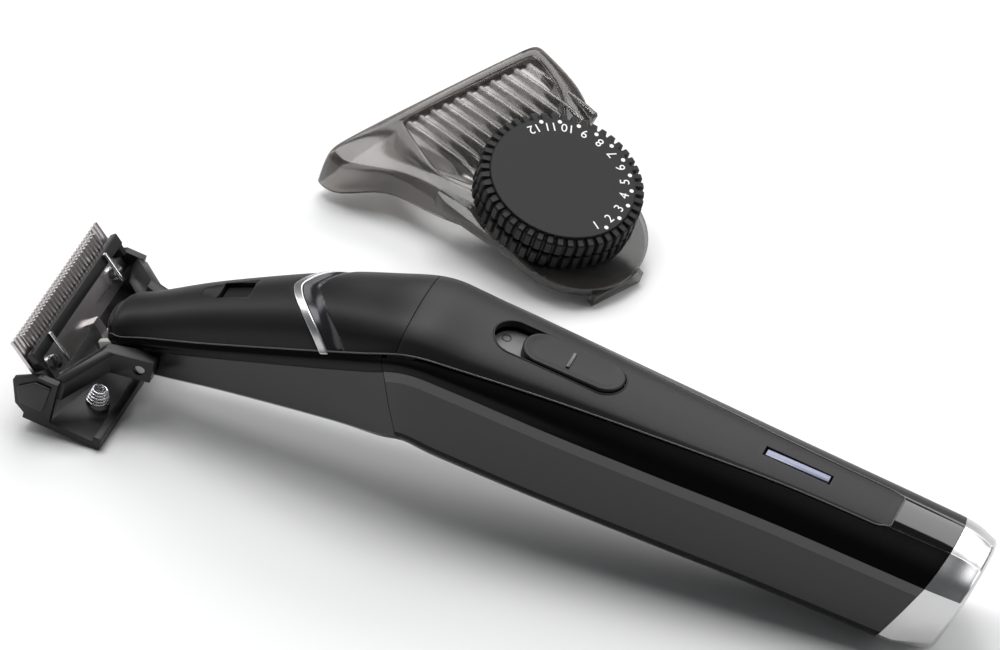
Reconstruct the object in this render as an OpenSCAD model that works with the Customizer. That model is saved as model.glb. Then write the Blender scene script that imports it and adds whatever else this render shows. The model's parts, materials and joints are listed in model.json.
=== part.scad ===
// Cordless body groomer with a T-shaped blade, lying on its back, and its dial comb beside it.
// The groomer is drawn in its own frame: X runs from the bend to the end cap, Z is the front
// face's normal and Y is its right side. lay() sets it down on the surface at z = 0.

/* [Handle] */
// Length of the handle from the bend to the end of the cap
handle_len = 110.5; // [105:0.5:130]
// Half width of the handle at the bend
handle_hw = 13.4; // [12.5:0.1:16]
// Depth of the handle behind its front seam
handle_depth = 25.4; // [23:0.1:30]
// Wall thickness of the shells
wall = 1.6; // [1.2:0.1:2]
// Thickness of the front panel under its seam line
panel_t = 1.5; // [1.2:0.1:2]
// Where the front panel ends
panel_end = 93; // [88:1:96]
// Height of the silver end cap along the handle
cap_len = 5; // [4:0.5:9]

/* [Neck] */
// Length of the neck along its seam, from the bend to its tip
neck_len = 63; // [60:1:72]
// Angle of the neck below the handle's axis
neck_angle = 29.5; // [24:0.5:32]
// Half width of the neck at its tip
neck_hw = 6.3; // [5.6:0.1:7.5]
// Distance of the silver trim's point from the bend
trim_at = 24.4; // [20:0.2:28]
// Width of the silver trim
trim_w = 1.8; // [1.2:0.1:2.4]

/* [Switch] */
// Middle of the switch slot along the handle
switch_x = 26; // [24:1:32]
// Length of the switch slot
slot_len = 25.8; // [23:0.2:28]
// Width of the switch slot
slot_w = 8.5; // [7.5:0.1:9]
// Travel of the slider towards the head
switch_travel = 5.4; // [4:0.2:6]
// Length of the charge light
light_len = 13; // [10:0.5:15]

/* [Head] */
// Width of the cutting edge
blade_w = 38; // [34:1:42]
// Pitch of the blade's teeth
tooth_pitch = 1.13; // [1:0.01:1.4]
// Length of the blade's teeth
tooth_len = 3.4; // [2.6:0.1:4]
// Half width of the head frame outside
head_hw = 20.6; // [18.6:0.1:23]
// Radius of the head's pivot pin
pivot_r = 1; // [0.8:0.1:1.2]
// Stroke of the moving blade to each side
stroke = 0.8; // [0.5:0.1:1]

/* [Comb] */
// Radius of the dial wheel
dial_r = 16; // [14:0.5:18]
// Radius of the printed dial face
dial_face_r = 14; // [12:0.5:15.5]
// Thickness of the dial wheel
dial_t = 8; // [6:0.5:9]
// Half width of the comb at its ribs
comb_hw = 27; // [26:0.5:30]
// Number of ribs in the comb
ribs = 11; // [9:1:11]
// Pitch of the comb's ribs
rib_pitch = 3; // [2.6:0.1:3.2]
// Travel of the comb from its shortest to its longest setting
comb_travel = 5; // [4:0.5:6]

/* [Charging] */
// Radius of the charging socket's bore
socket_r = 1.75; // [1.5:0.05:2]
// Depth of the charging socket
socket_len = 8; // [6:0.5:10]

/* [Hidden] */

big = 200;
slice = 0.02;
gap = 0.12;
fit = 0.05;
seam_lift = 0.08;
cap_slant = 20;
bend_slant = 23;
bend_x = -4.3;
end_slant = 12;
heel_flat = 0.2;

// The body's stations from the neck's tip to the end of the handle. Each is
// [x, z of the seam, tilt, seam half width, crown, crease 1 [y, z], crease 2 [y, z], back depth],
// with the last three measured from the seam's middle.
function neck_x(t) = -t * cos(neck_angle);
function neck_z(t) = seam_z0 - t * sin(neck_angle);
seam_z0 = 10;
tip_w = neck_hw;
hw = handle_hw;
hd = handle_depth;
hx = handle_len / 110.5;
stations = [
    [neck_x(neck_len), neck_z(neck_len), -neck_angle, tip_w - 1.5, 2.6, [tip_w - 1.2, -2], [tip_w - 1.2, -5.5], 7],
    [neck_x(neck_len - 2.5), neck_z(neck_len - 2.5), -neck_angle, tip_w - 0.4, 4, [tip_w - 0.2, -3], [tip_w - 0.2, -7], 9],
    [neck_x(neck_len * 0.87), neck_z(neck_len * 0.87), -neck_angle, tip_w, 4.6, [tip_w + 0.2, -3], [tip_w + 0.2, -8.4], 10.6],
    [neck_x(neck_len * 0.66), neck_z(neck_len * 0.66), -neck_angle, 8, 6.3, [8.2, -3.2], [8.2, -10.4], 13.4],
    [neck_x(neck_len * 0.33), neck_z(neck_len * 0.33), -neck_angle, 10, 7.4, [10.4, -3.6], [10.5, -14.9], 18.6],
    [neck_x(neck_len * 0.14), neck_z(neck_len * 0.14), -neck_angle * 0.75, 11, 6.4, [11.8, -3.5], [12.2, -17], 21.6],
    [1.5, seam_z0 + 0.4, -neck_angle * 0.3, hw - 2, 4.7, [hw - 0.4, -3.2], [hw, -17.6], hd - 1.6],
    [12 * hx, 11.4, 0, hw - 2.9, 3.3, [hw - 0.5, -3.6], [hw, -18.6], hd - 0.4],
    [30 * hx, 12.2, 0, hw - 4.6, 2.2, [hw - 0.9, -4.6], [hw - 0.4, -19.6], hd],
    [50 * hx, 12.5, 0, hw - 6.3, 1.3, [hw - 1.4, -4.6], [hw - 0.8, -19.4], hd - 0.4],
    [73 * hx, 12.6, 0, hw - 8, 0.7, [hw - 2.2, -4.4], [hw - 1.4, -19], hd - 1],
    [97 * hx, 12.1, 0, hw - 8.6, 0.6, [hw - 2.6, -4.2], [hw - 1.9, -18.4], hd - 1.8],
    [106 * hx, 11.8, end_slant, hw - 8.9, 0.5, [hw - 2.9, -4.2], [hw - 2.2, -18], hd - 2.2],
    [handle_len, 10.6, end_slant, hw - 9.4, 0.4, [hw - 4, -3.8], [hw - 3.4, -16], hd - 3.6]
];
last = len(stations) - 1;

// The head's pivot and the places on it, in the groomer's frame.
pivot_x = neck_x(neck_len - 9);
pivot_z = neck_z(neck_len - 9) - 5.6;
edge_x = pivot_x - 21.4;
edge_z = pivot_z + 3.4;
floor_z = pivot_z - 12.4;
frame_front = pivot_x - 20;
frame_back = pivot_x - 1;

// The groomer lies on the back of its head and on its heel, which is the origin.
heel = [stations[last][0] - stations[last][7] * sin(end_slant),
    stations[last][1] - stations[last][7] * cos(end_slant)];
lay_dip = atan2(heel[1] - floor_z, heel[0] - frame_back);
lay_height = heel[0] * sin(lay_dip) - heel[1] * cos(lay_dip) - heel_flat;
lay_back = heel[0] * cos(lay_dip) + heel[1] * sin(lay_dip) - 1.5;

function half_outline(s) = [
    [0, s[4]], [s[3] * 0.5, s[4] * 0.86], [s[3] * 0.83, s[4] * 0.5], [s[3], 0],
    [(s[3] + s[5][0]) / 2 + 0.7, s[5][1] * 0.42], s[5], [s[6][0] + 0.15, (s[5][1] + s[6][1]) / 2], s[6],
    [s[6][0] * 0.84, (s[6][1] * 0.52 - s[7] * 0.48)], [s[6][0] * 0.5, (s[6][1] * 0.2 - s[7] * 0.8)], [0, -s[7]]
];
function outline(s) = let (h = half_outline(s), n = len(h))
    [for (i = [0 : n - 1]) h[i], for (i = [n - 2 : -1 : 1]) [-h[i][0], h[i][1]]];

// Sets a drawing of (y, z) upright at a station.
module at_station(s) {
    translate([s[0], 0, s[1]]) rotate([0, s[2], 0]) rotate([90, 0, 90]) linear_extrude(slice) children();
}

// The whole outside of the groomer, or its inside when inset is a wall.
module envelope(inset = 0, from = 0, to = last) {
    for (i = [from : to - 1])
        hull() {
            at_station(stations[i]) offset(delta = -inset) polygon(outline(stations[i]));
            at_station(stations[i + 1]) offset(delta = -inset) polygon(outline(stations[i + 1]));
        }
}

// The strip that the front panel fills, from its underside up.
module front_strip(clear = 0) {
    for (i = [5 : last - 2])
        hull() for (k = [0, 1]) let (s = stations[i + k])
            at_station(s) translate([0.07 - s[3] - clear, -panel_t - clear])
                square([2 * (s[3] + clear - 0.07), 12]);
}

// Everything in front of the seam line, as a side view drawn right across.
module above_seam(from, to) {
    rotate([90, 0, 0]) linear_extrude(2 * hw + 40, center = true)
        polygon([for (i = [from : to]) [stations[i][0], stations[i][1] + seam_lift],
            [stations[to][0], 60], [stations[from][0] - 30, 60], [stations[from][0] - 30, stations[from][1]]]);
}

// Everything up to the panel's rounded end, as seen from the front.
module panel_corners(grow = 0) {
    w = stations[last - 2][3] + 0.35 + grow;
    translate([0, 0, -5]) linear_extrude(40)
        union() {
            translate([-40, -30]) square([40 + panel_end - 9, 60]);
            hull() for (side = [-1, 1]) {
                translate([panel_end - 9.5, side * (w + 2) - 1]) square([1, 2]);
                translate([panel_end - 2.8 + grow, side * (w - 2.8)]) circle(2.8, $fn = 24);
            }
        }
}

// Moves a drawing into the neck's frame: x runs back along the seam to the bend, z is its front.
module in_neck() {
    translate([0, 0, seam_z0]) rotate([0, -neck_angle, 0]) children();
}

// A V across the neck that points to the head, from its point back past the bend.
module chevron(point, sweep = 7.4) {
    in_neck() translate([0, 0, -3]) linear_extrude(30)
        polygon([[-point, 0], [-point + sweep * 0.36, 5], [-point + sweep, 10.4], [-point + sweep + 4, 14],
            [60, 14], [60, -14], [-point + sweep + 4, -14], [-point + sweep, -10.4], [-point + sweep * 0.36, -5]]);
}

module cap_side(shift = 0) {
    translate([handle_len - cap_len + shift, 0, 14]) rotate([0, cap_slant, 0])
        translate([0, -50, -60]) cube([80, 100, 120]);
}

// The neck's side of the slanted joint between the neck's underside and the rear shell.
module neck_side() {
    translate([bend_x, 0, seam_z0 + 0.5]) rotate([0, -bend_slant, 0]) translate([-100, -50, -60])
        cube([100, 100, 120]);
}

// The plane across the front at the bend, where the thumb rest meets the panel.
panel_start = -1;
module behind_bend(shift = 0) {
    translate([panel_start + shift, -50, -50]) cube([big, 100, 120]);
}

// Sets the groomer down on the surface, resting on its head and its heel.
module lay() {
    translate([-lay_back, 0, lay_height]) rotate([0, lay_dip, 0]) children();
}

// ---- Casing ----

crown_z = 14.6;

module stadium(length, width, height) {
    hull() for (end = [-1, 1])
        translate([end * (length - width) / 2, 0, 0]) cylinder(r = width / 2, h = height, $fn = 32);
}

module rear_shell() {
    lay() color([0.03, 0.03, 0.035]) difference() {
        envelope(0, 4, last);
        envelope(wall, 3, last);
        intersection() {
            front_strip();
            panel_corners();
        }
        above_seam(3, 7);
        cap_side();
        neck_side();
    }
}

module neck_underside() {
    lay() color([0.16, 0.16, 0.17]) difference() {
        intersection() {
            envelope(0, 0, 7);
            neck_side();
        }
        envelope(wall, 1, 8);
        above_seam(0, 7);
        lever_gap();
        pivot_hole(pivot_r + 0.03);
    }
}

module front_panel() {
    lay() color([0.2, 0.2, 0.21]) difference() {
        intersection() {
            envelope(0, 5, last);
            union() {
                front_strip(-gap / 2);
                above_seam(4, 6);
            }
            behind_bend();
            panel_corners(-gap / 2);
        }
        envelope(wall, 4, 7);
        translate([switch_x, 0, 0]) stadium(slot_len, slot_w, 40);
        translate([light_x, 0, 0]) translate([-light_len / 2 - 0.2, -light_w / 2 - 0.2, 0])
            cube([light_len + 0.4, light_w + 0.4, 40]);
    }
}

module neck_cover() {
    lay() color([0.1, 0.1, 0.1]) difference() {
        intersection() {
            envelope(0, 0, 7);
            above_seam(0, 6);
        }
        envelope(wall, 1, 8);
        chevron(trim_at + gap);
        latch_cut();
        lever_gap();
    }
}

module silver_trim() {
    lay() color([0.78, 0.78, 0.8]) difference() {
        intersection() {
            envelope(-0.12, 2, 7);
            above_seam(0, 6);
            chevron(trim_at);
        }
        envelope(wall, 1, 8);
        chevron(trim_at - trim_w);
    }
}

module thumb_inlay() {
    lay() color([0.18, 0.18, 0.2]) difference() {
        intersection() {
            envelope(0, 2, 8);
            above_seam(0, 6);
            chevron(trim_at - trim_w - gap);
        }
        envelope(wall, 1, 9);
        behind_bend(-gap);
    }
}

module end_cap() {
    lay() color([0.75, 0.75, 0.77]) difference() {
        intersection() {
            envelope(0, last - 3, last);
            cap_side(gap);
        }
        translate([socket_x - 0.1, 0, 0]) rotate([0, 90, 0]) cylinder(r = socket_r + 1.4, h = big, $fn = 48);
        envelope(wall, last - 2, last - 1);
        below_surface();
    }
}

// What lies under the surface, in the groomer's frame.
module below_surface() {
    rotate([0, -lay_dip, 0]) translate([0, -50, -lay_height - 50]) cube([big, 100, 50]);
}

// ---- Switch and light ----

slider_len = slot_len - switch_travel - 0.6;
slider_w = slot_w - 0.6;
slider_x = switch_x + (slot_len - slider_len) / 2 - 0.3;
plate_z = 11.2;
light_x = 73.2;
light_w = 2.2;
marker_len = 4;

module switch_plate() {
    lay() color([0.6, 0.6, 0.6]) translate([switch_x, 0, plate_z]) stadium(slot_len - 0.1, slot_w - 0.1, 0.8);
}

module switch_slider() {
    lay() color([0.22, 0.22, 0.23]) union() {
        translate([slider_x, 0, plate_z + 0.9]) stadium(slider_len, slider_w, crown_z - plate_z - 0.9);
        translate([slider_x - 1.5, -marker_len / 2, crown_z - 0.1]) cube([0.8, marker_len, 0.5]);
    }
}

module charge_light() {
    lay() color([0.55, 0.56, 0.7]) translate([light_x - light_len / 2, -light_w / 2, 9.6])
        cube([light_len, light_w, 3.3]);
}

// ---- Inside ----

socket_x = handle_len - 10.6 * tan(end_slant) - socket_len - 0.3;

battery_r = 7;
battery_len = 44;
battery_x = 46;
battery_z = -1.8;
board_z = 8.2;
motor_r = 7.6;
motor_len = 26;
motor_x = 6;
motor_z = -2.2;
shaft_r = 1;

module battery() {
    lay() color([0.2, 0.45, 0.3]) translate([battery_x, 0, battery_z]) rotate([0, 90, 0])
        cylinder(r = battery_r, h = battery_len, $fn = 48);
}

module battery_contacts() {
    lay() color([0.8, 0.8, 0.75]) for (x = [battery_x - 0.6, battery_x + battery_len + 0.1])
        translate([x, -3, battery_z - 5]) cube([0.5, 6, 14.4]);
}

module circuit_board() {
    lay() color([0.1, 0.35, 0.15]) difference() {
        translate([15, -7, board_z]) cube([76, 14, 1.2]);
        translate([20, 0, board_z - 1]) cylinder(r = 1.1, h = 4, $fn = 24);
        translate([86, 0, board_z - 1]) cylinder(r = 1.1, h = 4, $fn = 24);
    }
}

module switch_contact() {
    lay() color([0.3, 0.3, 0.3]) translate([switch_x - 4, -2.5, board_z + 1.25]) cube([9, 5, 1.5]);
}

module motor_can() {
    lay() color([0.7, 0.7, 0.72]) translate([motor_x, 0, motor_z]) rotate([0, 90, 0]) difference() {
        cylinder(r = motor_r, h = motor_len, $fn = 48);
        translate([0, 0, -1]) cylinder(r = shaft_r + fit, h = 12, $fn = 32);
    }
}

module motor_bracket() {
    lay() color([0.35, 0.35, 0.36]) translate([motor_x, 0, motor_z]) rotate([0, 90, 0]) difference() {
        translate([0, 0, -2.2]) cylinder(r = motor_r + 1.2, h = 8, $fn = 48);
        translate([0, 0, -0.02]) cylinder(r = motor_r + 0.02, h = 20, $fn = 48);
        translate([0, 0, -4]) cylinder(r = 3, h = 10, $fn = 32);
    }
}

module motor_shaft() {
    lay() color([0.8, 0.8, 0.8]) translate([motor_x - 6.88, 0, motor_z]) rotate([0, 90, 0])
        cylinder(r = shaft_r, h = 16.38, $fn = 32);
}

eccentric_offset = 1.2;
module motor_eccentric() {
    lay() color([0.9, 0.9, 0.85]) translate([motor_x - 7.5, 0, motor_z]) rotate([0, 90, 0]) difference() {
        union() {
            cylinder(r = 2.8, h = 3.6, $fn = 32);
            translate([eccentric_offset, 0, -3]) cylinder(r = 0.8, h = 4, $fn = 24);
        }
        translate([0, 0, 0.6]) cylinder(r = shaft_r, h = 5, $fn = 32);
    }
}

module charging_socket() {
    lay() color([0.08, 0.08, 0.08]) translate([socket_x, 0, 0]) rotate([0, 90, 0])
        difference() {
            cylinder(r = socket_r + 1.3, h = socket_len, $fn = 48);
            translate([0, 0, 1]) cylinder(r = socket_r, h = socket_len, $fn = 48);
        }
}

module shaft_seal() {
    lay() color([0.12, 0.12, 0.12]) in_neck() translate([-30, 0, -5]) rotate([0, 90, 0]) difference() {
        cylinder(r = 4.6, h = 2, $fn = 32);
        translate([0, 0, -1]) cylinder(r = 2.4, h = 4, $fn = 32);
    }
}

module case_screws() {
    lay() color([0.7, 0.7, 0.7]) for (x = [20, 86]) translate([x, 0, board_z - 2.6]) {
        cylinder(r = 0.95, h = 4, $fn = 24);
        translate([0, 0, 3.85]) cylinder(r = 1.8, h = 1, $fn = 24);
    }
}

// ---- Latch in the neck ----

latch_at = 37;
module latch_cut() {
    in_neck() {
        translate([-latch_at - 3.2, -2.6, 1]) cube([6.4, 5.2, 20]);
        translate([-latch_at, 0, 15.7]) rotate([0, 90, 0]) cylinder(r = 10, h = 14, center = true, $fn = 48);
    }
}

module latch_button() {
    lay() color([0.06, 0.06, 0.06]) in_neck() translate([-latch_at - 2.8, -2.3, 2.2]) cube([5.6, 4.6, 3]);
}

module latch_spring() {
    lay() color([0.75, 0.75, 0.75]) in_neck() translate([-latch_at, 0, -0.6]) difference() {
        cylinder(r = 1.5, h = 2.7, $fn = 24);
        translate([0, 0, -1]) cylinder(r = 1, h = 6, $fn = 24);
    }
}

// ---- Drive lever ----

lever_z = -4.6;
lever_pivot = 46;
module lever_gap() {
    in_neck() translate([-neck_len - 6, -2.9, lever_z - 1.6]) cube([9, 5.8, 3.2]);
}

module drive_lever() {
    lay() color([0.75, 0.75, 0.72]) in_neck() difference() {
        union() {
            translate([-lever_pivot, 0, lever_z - 1]) cylinder(r = 2.6, h = 2, $fn = 32);
            translate([-lever_pivot, -1, lever_z - 1]) cube([32, 2, 2]);
            translate([-neck_len - 3.4, -1.2, lever_z - 1]) cube([neck_len + 3.4 - lever_pivot, 2.4, 2]);
            translate([-neck_len - 5.4, -2.4, lever_z - 1]) cube([2.4, 1.2, 2]);
            translate([-neck_len - 5.4, 1.2, lever_z - 1]) cube([2.4, 1.2, 2]);
            translate([-neck_len - 3.8, -2.4, lever_z - 1]) cube([1, 4.8, 2]);
        }
        translate([-lever_pivot, 0, lever_z - 3]) cylinder(r = 0.9 + fit, h = 6, $fn = 32);
    }
}

module lever_pin() {
    lay() color([0.8, 0.65, 0.35]) in_neck() translate([-lever_pivot, 0, lever_z - 3.4])
        cylinder(r = 0.9, h = 7.4, $fn = 32);
}

// ---- Head ----

module pivot_hole(r) {
    translate([pivot_x, 0, pivot_z]) rotate([90, 0, 0]) cylinder(r = r, h = 60, center = true, $fn = 32);
}

module head_pivot_pins() {
    lay() color([0.75, 0.75, 0.75]) for (side = [-1, 1])
        translate([pivot_x, side * (neck_hw - 2.3), pivot_z]) rotate([-side * 90, 0, 0])
            cylinder(r = pivot_r, h = 5.3, $fn = 32);
}

end_t = 1.5;
arm_front_y = head_hw - end_t - 1.1;
module head_frame() {
    lay() color([0.14, 0.14, 0.15]) union() {
        translate([frame_front + 3.4, -head_hw, floor_z]) cube([frame_back - frame_front - 3.4, 2 * head_hw, 1.6]);
        for (side = [-1, 1])
            translate([0, side * (head_hw - end_t / 2), 0]) rotate([90, 0, 0]) linear_extrude(end_t, center = true)
                polygon([[frame_front, pivot_z - 4.4], [frame_front + 4.6, pivot_z - 1.4],
                    [frame_front + 8.6, pivot_z - 1.4], [frame_front + 8.6, floor_z], [frame_front + 5, floor_z],
                    [frame_front + 1.4, pivot_z - 9.6]]);
        translate([frame_back - 1.6, -head_hw, floor_z]) cube([1.6, 2 * head_hw, 2.8]);
    }
}

module head_arm(side) {
    lay() color([0.14, 0.14, 0.15]) difference() {
        union() {
            hull() {
                translate([frame_front + 7.4, side * arm_front_y - 1, pivot_z - 6]) cube([2, 2, 4.6]);
                translate([pivot_x - 7, side * (neck_hw + 3.6) - 1, pivot_z - 2.4]) cube([2, 2, 5]);
            }
            hull() {
                translate([pivot_x - 7, side * (neck_hw + 3.6) - 1, pivot_z - 2.4]) cube([2, 2, 5]);
                translate([pivot_x - 2, side * (neck_hw + 1.9) - 1, pivot_z - 2.4]) cube([4.4, 2, 5]);
            }
        }
        pivot_hole(pivot_r + fit);
    }
}

module head_arm_left() {
    head_arm(-1);
}

module head_arm_right() {
    head_arm(1);
}

module side_pads() {
    lay() color([0.2, 0.2, 0.2]) for (side = [-1, 1])
        translate([0, side * (head_hw + 0.35), 0]) rotate([90, 0, 0]) linear_extrude(0.7, center = true)
            polygon([[frame_front + 1.2, pivot_z - 5.2], [frame_front + 4.4, pivot_z - 2.4],
                [frame_front + 7.6, pivot_z - 2.4], [frame_front + 7, pivot_z - 8.6], [frame_front + 2.4, pivot_z - 8.6]]);
}

// Sets a drawing at the cutting edge: x runs out along the teeth, z is the blade's back.
tooth_lean = 43;
module at_edge() {
    translate([edge_x, 0, edge_z]) rotate([0, 180 + tooth_lean, 0]) children();
}

blade_back = 7.4;
blade_t = 0.7;
blade_gap = 0.08;
moving_w = blade_w - 4 - 2.5 * stroke;
drive_tab = 2.2;
module toothed_plate(width, thick) {
    count = floor(width / tooth_pitch);
    difference() {
        translate([-tooth_len - blade_back, -width / 2, 0]) cube([tooth_len + blade_back, width, thick]);
        for (i = [0 : count - 1])
            translate([-tooth_len + (i % 2) * 0.5, (i - (count - 1) / 2) * tooth_pitch - tooth_pitch * 0.27, -1])
                cube([tooth_len + 1, tooth_pitch * 0.54, thick + 2]);
    }
}

module fixed_blade() {
    lay() color([0.7, 0.67, 0.66]) at_edge() translate([0, 0, blade_t + blade_gap]) toothed_plate(blade_w, blade_t);
}

module moving_blade() {
    lay() color([0.75, 0.73, 0.72]) at_edge() union() {
        translate([-0.7, 0, 0]) toothed_plate(moving_w, blade_t);
        translate([-tooth_len - blade_back - 5.2, -drive_tab / 2, -2]) cube([6, drive_tab, 2 + blade_t]);
    }
}

bar_hw = head_hw - end_t - 0.02;
module blade_carrier() {
    lay() color([0.2, 0.2, 0.21]) at_edge() union() {
        translate([-tooth_len - 2.4, -bar_hw, -1.6]) cube([2.4, 2 * bar_hw, 1.5]);
        for (side = [-1, 1]) translate([-tooth_len - 4.2, side * (moving_w / 2 + 1.9) - 0.7, -1.6])
            cube([3.2, 1.4, 1.6 + blade_t + blade_gap]);
    }
}

module contour_springs() {
    lay() color([0.8, 0.8, 0.82]) at_edge() for (side = [-1, 1])
        translate([-tooth_len - 6.6, side * 12.4, -2.1]) rotate([0, 90, 0]) cylinder(r = 0.4, h = 6.4, $fn = 16);
}

module blade_screws() {
    lay() color([0.7, 0.7, 0.7]) at_edge() for (side = [-1, 1])
        translate([-tooth_len - 5.4, side * (moving_w / 2 - 2), -1]) cylinder(r = 1.4, h = 0.88, $fn = 24);
}

module head_spring() {
    lay() color([0.78, 0.78, 0.78]) for (side = [-1, 1]) translate([pivot_x - 6, side * 10.6, floor_z + 1.65]) difference() {
        cylinder(r = 2.2, h = 3.4, $fn = 32);
        translate([0, 0, -1]) cylinder(r = 1.6, h = 8, $fn = 32);
    }
}

// ---- Comb with its dial ----

axle_r = 2;
comb_yaw = -28;
comb_end = 21;
comb_front = -34;
base_top = -dial_t;
base_t = 2;
clip_r = dial_face_r + 0.5;
rib_t = 1.2;
slope_z = -8;
tab_h = 2;
rib_depth = 11;
tab_bottom = base_top - base_t - tab_h;
rib_bottom = base_top + slope_z - rib_depth;
comb_lean = atan2(tab_bottom - rib_bottom, comb_end - comb_front - 2);
comb_place = [-99, 70, comb_end * sin(comb_lean) - tab_bottom * cos(comb_lean)];

module lay_comb() {
    translate(comb_place) rotate([0, comb_lean, comb_yaw]) children();
}

module comb_base() {
    lay_comb() color([0.35, 0.33, 0.32, 0.75]) difference() {
        union() {
            translate([0, 0, base_top - base_t]) hull() {
                cylinder(r = clip_r, h = base_t, $fn = 64);
                translate([comb_end - clip_r, 0, 0]) cylinder(r = clip_r, h = base_t, $fn = 64);
            }
            for (side = [-1, 1]) hull() {
                translate([-2, side * (clip_r - 1) - 1, base_top - base_t]) cube([8, 2, base_t]);
                translate([-13, side * 17.4 - 1, base_top - base_t - 1.5]) cube([3, 2, 3.2]);
            }
            translate([comb_end - 1.6, -6, tab_bottom]) cube([1.6, 12, tab_h + 1]);
        }
        translate([0, 0, base_top - 10]) cylinder(r = axle_r + 0.02, h = 20, $fn = 32);
    }
}

ribs_mid = 7;
function rib_y(i) = ribs_mid + (i - (ribs - 1) / 2) * rib_pitch;

module comb_rib(y, thick) {
    translate([0, y, 0]) rotate([90, 0, 0]) linear_extrude(thick, center = true)
        polygon([[comb_front + 0.4, base_top + slope_z], [-15, base_top - 3], [-15, base_top - 6.5],
            [-19, base_top + slope_z - 3], [comb_front + 6, rib_bottom + 1],
            [comb_front + 2, rib_bottom], [comb_front, rib_bottom + 1.4], [comb_front - 1.6, rib_bottom + 6]]);
}

tongue_ribs = [0, 6];
module comb_guide() {
    lay_comb() color([0.4, 0.38, 0.36, 0.7]) union() {
        translate([comb_front, -comb_hw, base_top + slope_z - 2.4]) cube([3, 2 * comb_hw, 2.4]);
        for (i = [0 : ribs - 1]) comb_rib(rib_y(i), rib_t);
        for (side = [-1, 1]) comb_rib(side * (comb_hw - rib_t / 2 - 0.01), rib_t);
        for (i = tongue_ribs)
            translate([-17, rib_y(i) - 1.5, base_top - base_t - 2.1]) cube([18 + comb_travel, 3, 1.8]);
        translate([-21, 0.02 - comb_hw, base_top + slope_z - 4.5]) cube([2, 2 * comb_hw - 0.04, 2]);
    }
}

module dial_wheel() {
    lay_comb() color([0.13, 0.13, 0.13]) difference() {
        union() {
            translate([0, 0, -dial_t + 0.3]) cylinder(r = dial_r, h = dial_t * 0.45, $fn = 64);
            translate([0, 0, -dial_t * 0.56]) cylinder(r = dial_r - 0.7, h = dial_t * 0.56, $fn = 64);
        }
        for (i = [0 : 35]) rotate(i * 10) translate([dial_r + 0.35, 0, -dial_t]) cylinder(r = 0.8, h = dial_t * 0.42, $fn = 8);
        translate([0, 0, -dial_t - 1]) cylinder(r = axle_r + fit, h = dial_t - 1.5, $fn = 32);
    }
}

module dial_axle() {
    lay_comb() color([0.6, 0.6, 0.6]) translate([0, 0, base_top - base_t - 1.2]) union() {
        cylinder(r = axle_r, h = base_t + 1.2 + dial_t - 3, $fn = 32);
        cylinder(r = 3.4, h = 1.1, $fn = 32);
    }
}

module dial_spring() {
    lay_comb() color([0.8, 0.8, 0.8]) translate([9, 0, base_top + 0.02]) cylinder(r = 1.2, h = 0.25, $fn = 24);
}

rear_shell();
neck_underside();
front_panel();
neck_cover();
silver_trim();
thumb_inlay();
end_cap();
switch_plate();
switch_slider();
charge_light();
battery();
battery_contacts();
circuit_board();
switch_contact();
motor_can();
motor_bracket();
motor_shaft();
motor_eccentric();
charging_socket();
shaft_seal();
case_screws();
latch_button();
latch_spring();
drive_lever();
lever_pin();
head_pivot_pins();
head_frame();
head_arm_left();
head_arm_right();
side_pads();
blade_carrier();
fixed_blade();
moving_blade();
contour_springs();
head_spring();
blade_screws();
comb_base();
comb_guide();
dial_wheel();
dial_axle();
dial_spring();
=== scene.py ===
# %% [markdown]
# # A cordless body groomer and its dial comb
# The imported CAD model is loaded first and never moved. Every visible piece that is built here takes
# its place from it: the switch's slide gives the handle's direction and the head's pivot gives a
# known point, so one small function carries handle measures in millimetres into the frame.
# %% The frame
import json
import math

import bpy
from mathutils import Matrix, Vector


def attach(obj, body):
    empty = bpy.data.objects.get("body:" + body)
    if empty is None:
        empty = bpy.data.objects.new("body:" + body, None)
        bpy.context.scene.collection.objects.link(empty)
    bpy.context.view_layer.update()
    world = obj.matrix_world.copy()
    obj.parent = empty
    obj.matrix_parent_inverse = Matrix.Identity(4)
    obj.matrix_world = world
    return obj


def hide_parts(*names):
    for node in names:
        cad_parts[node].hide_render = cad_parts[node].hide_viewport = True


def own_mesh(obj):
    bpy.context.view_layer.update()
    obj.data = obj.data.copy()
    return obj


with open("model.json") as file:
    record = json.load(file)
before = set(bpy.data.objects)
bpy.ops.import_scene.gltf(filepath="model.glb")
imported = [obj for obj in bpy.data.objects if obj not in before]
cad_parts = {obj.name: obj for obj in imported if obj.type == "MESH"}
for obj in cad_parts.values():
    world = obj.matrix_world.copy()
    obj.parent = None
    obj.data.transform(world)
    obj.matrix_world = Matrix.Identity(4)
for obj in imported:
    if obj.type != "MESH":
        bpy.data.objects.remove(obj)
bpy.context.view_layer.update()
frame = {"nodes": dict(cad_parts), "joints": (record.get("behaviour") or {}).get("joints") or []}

MM = 0.001
joints = {joint["name"]: joint for joint in frame["joints"]}

# %% [markdown]
# The handle's own axes: `along` runs from the bend to the end cap, `across` to the comb's side and
# `front` out of the front face. The neck's length and angle place the head's pivot, which the frame
# also gives, and the two together place everything else.
# %% The handle's axes
NECK_LEN = 63.0
NECK_ANGLE = 29.5
SEAM_Z = 10.0
HALF_W = 13.4
DEPTH = 25.4
HANDLE_LEN = 110.5
END_SLANT = 12.0

neck_cos = math.cos(math.radians(NECK_ANGLE))
neck_sin = math.sin(math.radians(NECK_ANGLE))
along = -Vector(joints["switch_slide"]["axis"]).normalized()
across = Vector((0, 1, 0))
front = along.cross(across)
pivot_world = Vector(joints["head_tilt"]["pos_m"]) / MM
pivot_x = -(NECK_LEN - 9) * neck_cos
pivot_z = SEAM_Z - (NECK_LEN - 9) * neck_sin - 5.6


def lay(x, y, z):
    """A point of the handle's own frame, in mm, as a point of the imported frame, in metres."""
    return (pivot_world + along * (x - pivot_x) + across * y + front * (z - pivot_z)) * MM


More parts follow.
